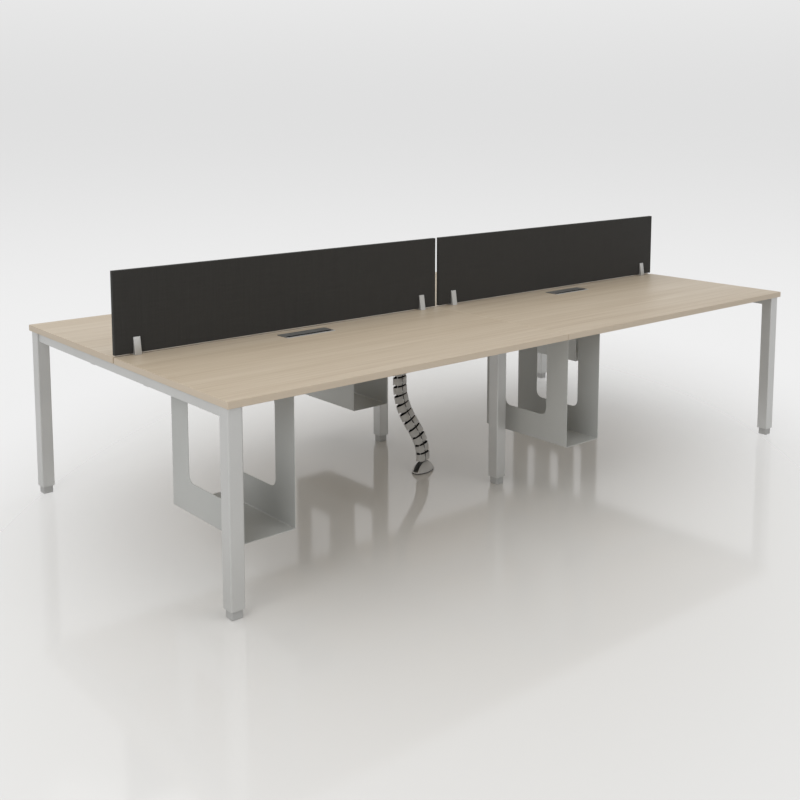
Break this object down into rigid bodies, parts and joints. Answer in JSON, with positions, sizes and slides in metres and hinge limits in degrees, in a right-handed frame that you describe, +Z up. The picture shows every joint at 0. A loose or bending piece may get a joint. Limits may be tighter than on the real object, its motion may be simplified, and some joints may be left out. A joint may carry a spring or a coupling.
{
  "type": "bench desk",
  "caption": "Face-to-face bench desk: oak worktops on square-tube frames, with low fabric screens, flip-lid power boxes, sheet-metal computer holders and a vertebra cable riser.",
  "frame": {"origin": "on the floor under the middle of the desk", "axes": "+X along the length, +Y across the desk from the near seats to the far seats, +Z up"},
  "size_m": [3.201, 1.61, 1.054],
  "materials": {
    "oak_laminate": "light oak laminate, satin, with a matching edge band",
    "frame_paint": "silver-grey powder coat, satin",
    "foot_paint": "mid grey paint, matt, on a cast pad with a steel stem",
    "holder_sheet": "silver-grey powder coat on sheet steel",
    "screen_fabric": "charcoal woven fabric",
    "clamp_aluminium": "cast and brushed, satin",
    "tub_plastic": "dark grey moulding, matt",
    "lid_aluminium": "brushed and anodised, satin",
    "riser_plastic": "silver-grey moulding, satin"
  },
  "bodies": {
    "desk": {"near_left_worktop": "oak_laminate", "near_left_power_tub": "tub_plastic", "near_left_computer_holder": "holder_sheet", "near_right_worktop": "oak_laminate", "near_right_power_tub": "tub_plastic", "near_right_computer_holder": "holder_sheet", "far_right_worktop": "oak_laminate", "far_right_power_tub": "tub_plastic", "far_right_computer_holder": "holder_sheet", "far_left_worktop": "oak_laminate", "far_left_power_tub": "tub_plastic", "far_left_computer_holder": "holder_sheet", "left_cross_beam": "frame_paint", "left_near_leg": "frame_paint", "left_far_leg": "frame_paint", "middle_cross_beam": "frame_paint", "middle_near_leg": "frame_paint", "middle_far_leg": "frame_paint", "right_cross_beam": "frame_paint", "right_near_leg": "frame_paint", "right_far_leg": "frame_paint", "near_right_rail": "frame_paint", "near_left_rail": "frame_paint", "far_right_rail": "frame_paint", "far_left_rail": "frame_paint", "left_screen": "screen_fabric", "left_screen_inner_clamp": "clamp_aluminium", "left_screen_outer_clamp": "clamp_aluminium", "right_screen": "screen_fabric", "right_screen_inner_clamp": "clamp_aluminium", "right_screen_outer_clamp": "clamp_aluminium", "riser_hanger": "riser_plastic"},
    "near_left_power_lid": {"near_left_power_lid": "lid_aluminium"},
    "near_right_power_lid": {"near_right_power_lid": "lid_aluminium"},
    "far_right_power_lid": {"far_right_power_lid": "lid_aluminium"},
    "far_left_power_lid": {"far_left_power_lid": "lid_aluminium"},
    "left_near_foot": {"left_near_foot": "foot_paint"},
    "left_far_foot": {"left_far_foot": "foot_paint"},
    "middle_near_foot": {"middle_near_foot": "foot_paint"},
    "middle_far_foot": {"middle_far_foot": "foot_paint"},
    "right_near_foot": {"right_near_foot": "foot_paint"},
    "right_far_foot": {"right_far_foot": "foot_paint"},
    "riser_vertebra_01": {"riser_vertebra_01": "riser_plastic"},
    "riser_vertebra_02": {"riser_vertebra_02": "riser_plastic"},
    "riser_vertebra_03": {"riser_vertebra_03": "riser_plastic"},
    "riser_vertebra_04": {"riser_vertebra_04": "riser_plastic"},
    "riser_vertebra_05": {"riser_vertebra_05": "riser_plastic"},
    "riser_vertebra_06": {"riser_vertebra_06": "riser_plastic"},
    "riser_vertebra_07": {"riser_vertebra_07": "riser_plastic"},
    "riser_vertebra_08": {"riser_vertebra_08": "riser_plastic"},
    "riser_vertebra_09": {"riser_vertebra_09": "riser_plastic"},
    "riser_vertebra_10": {"riser_vertebra_10": "riser_plastic"},
    "riser_vertebra_11": {"riser_vertebra_11": "riser_plastic"},
    "riser_vertebra_12": {"riser_vertebra_12": "riser_plastic"},
    "riser_vertebra_13": {"riser_vertebra_13": "riser_plastic"},
    "riser_vertebra_14": {"riser_vertebra_14": "riser_plastic"},
    "riser_vertebra_15": {"riser_vertebra_15": "riser_plastic"},
    "riser_vertebra_16": {"riser_vertebra_16": "riser_plastic"},
    "riser_base": {"riser_base": "riser_plastic"}
  },
  "joints": [
    {"name": "left_near_levelling", "type": "slide", "parent": "desk", "child": "left_near_foot", "axis": [0, 0, -1], "range_m": [0, 0.02]},
    {"name": "left_far_levelling", "type": "slide", "parent": "desk", "child": "left_far_foot", "axis": [0, 0, -1], "range_m": [0, 0.02]},
    {"name": "middle_near_levelling", "type": "slide", "parent": "desk", "child": "middle_near_foot", "axis": [0, 0, -1], "range_m": [0, 0.02]},
    {"name": "middle_far_levelling", "type": "slide", "parent": "desk", "child": "middle_far_foot", "axis": [0, 0, -1], "range_m": [0, 0.02]},
    {"name": "right_near_levelling", "type": "slide", "parent": "desk", "child": "right_near_foot", "axis": [0, 0, -1], "range_m": [0, 0.02]},
    {"name": "right_far_levelling", "type": "slide", "parent": "desk", "child": "right_far_foot", "axis": [0, 0, -1], "range_m": [0, 0.02]},
    {"name": "near_left_power_lid_hinge", "type": "hinge", "parent": "desk", "child": "near_left_power_lid", "pos_m": [-0.8005, -0.0718, 0.7313], "axis": [-1, 0, 0], "range_deg": [0, 95]},
    {"name": "near_right_power_lid_hinge", "type": "hinge", "parent": "desk", "child": "near_right_power_lid", "pos_m": [0.8005, -0.0718, 0.7313], "axis": [-1, 0, 0], "range_deg": [0, 95]},
    {"name": "far_right_power_lid_hinge", "type": "hinge", "parent": "desk", "child": "far_right_power_lid", "pos_m": [0.8005, 0.0718, 0.7313], "axis": [1, 0, 0], "range_deg": [0, 95]},
    {"name": "far_left_power_lid_hinge", "type": "hinge", "parent": "desk", "child": "far_left_power_lid", "pos_m": [-0.8005, 0.0718, 0.7313], "axis": [1, 0, 0], "range_deg": [0, 95]},
    {"name": "riser_vertebra_01_bend", "type": "hinge", "parent": "desk", "child": "riser_vertebra_01", "pos_m": [-0.221, -0.003, 0.69], "axis": [0.766, -0.6428, 0], "range_deg": [-8, 8]},
    {"name": "riser_vertebra_02_bend", "type": "hinge", "parent": "riser_vertebra_01", "child": "riser_vertebra_02", "pos_m": [-0.221, -0.003, 0.64857], "axis": [0.766, -0.6428, 0], "range_deg": [-8, 8]},
    {"name": "riser_vertebra_03_bend", "type": "hinge", "parent": "riser_vertebra_02", "child": "riser_vertebra_03", "pos_m": [-0.221, -0.003, 0.60713], "axis": [0.766, -0.6428, 0], "range_deg": [-8, 8]},
    {"name": "riser_vertebra_04_bend", "type": "hinge", "parent": "riser_vertebra_03", "child": "riser_vertebra_04", "pos_m": [-0.221, -0.003, 0.5657], "axis": [0.766, -0.6428, 0], "range_deg": [-8, 8]},
    {"name": "riser_vertebra_05_bend", "type": "hinge", "parent": "riser_vertebra_04", "child": "riser_vertebra_05", "pos_m": [-0.221, -0.003, 0.52426], "axis": [0.766, -0.6428, 0], "range_deg": [-8, 8]},
    {"name": "riser_vertebra_06_bend", "type": "hinge", "parent": "riser_vertebra_05", "child": "riser_vertebra_06", "pos_m": [-0.221, -0.003, 0.48283], "axis": [0.766, -0.6428, 0], "range_deg": [-8, 8]},
    {"name": "riser_vertebra_07_bend", "type": "hinge", "parent": "riser_vertebra_06", "child": "riser_vertebra_07", "pos_m": [-0.221, -0.003, 0.44139], "axis": [0.766, -0.6428, 0], "range_deg": [-8, 8]},
    {"name": "riser_vertebra_08_bend", "type": "hinge", "parent": "riser_vertebra_07", "child": "riser_vertebra_08", "pos_m": [-0.22072, -0.00324, 0.39996], "axis": [0.766, -0.6428, 0], "range_deg": [-8, 8]},
    {"name": "riser_vertebra_09_bend", "type": "hinge", "parent": "riser_vertebra_08", "child": "riser_vertebra_09", "pos_m": [-0.21829, -0.00528, 0.35865], "axis": [0.766, -0.6428, 0], "range_deg": [-8, 8]},
    {"name": "riser_vertebra_10_bend", "type": "hinge", "parent": "riser_vertebra_09", "child": "riser_vertebra_10", "pos_m": [-0.21216, -0.01041, 0.31799], "axis": [0.766, -0.6428, 0], "range_deg": [-8, 8]},
    {"name": "riser_vertebra_11_bend", "type": "hinge", "parent": "riser_vertebra_10", "child": "riser_vertebra_11", "pos_m": [-0.20189, -0.01903, 0.27879], "axis": [0.766, -0.6428, 0], "range_deg": [-8, 8]},
    {"name": "riser_vertebra_12_bend", "type": "hinge", "parent": "riser_vertebra_11", "child": "riser_vertebra_12", "pos_m": [-0.18818, -0.03054, 0.24142], "axis": [0.766, -0.6428, 0], "range_deg": [-8, 8]},
    {"name": "riser_vertebra_13_bend", "type": "hinge", "parent": "riser_vertebra_12", "child": "riser_vertebra_13", "pos_m": [-0.17255, -0.04365, 0.20536], "axis": [0.766, -0.6428, 0], "range_deg": [-8, 8]},
    {"name": "riser_vertebra_14_bend", "type": "hinge", "parent": "riser_vertebra_13", "child": "riser_vertebra_14", "pos_m": [-0.15723, -0.05651, 0.16907], "axis": [0.766, -0.6428, 0], "range_deg": [-8, 8]},
    {"name": "riser_vertebra_15_bend", "type": "hinge", "parent": "riser_vertebra_14", "child": "riser_vertebra_15", "pos_m": [-0.14599, -0.06594, 0.13032], "axis": [0.766, -0.6428, 0], "range_deg": [-4, 8]},
    {"name": "riser_vertebra_16_bend", "type": "hinge", "parent": "riser_vertebra_15", "child": "riser_vertebra_16", "pos_m": [-0.14088, -0.07022, 0.08943], "axis": [0.766, -0.6428, 0], "range_deg": [-8, 8]},
    {"name": "riser_base_bend", "type": "hinge", "parent": "riser_vertebra_16", "child": "riser_base", "pos_m": [-0.14025, -0.07076, 0.048], "axis": [0.766, -0.6428, 0], "range_deg": [-8, 8]}
  ]
}
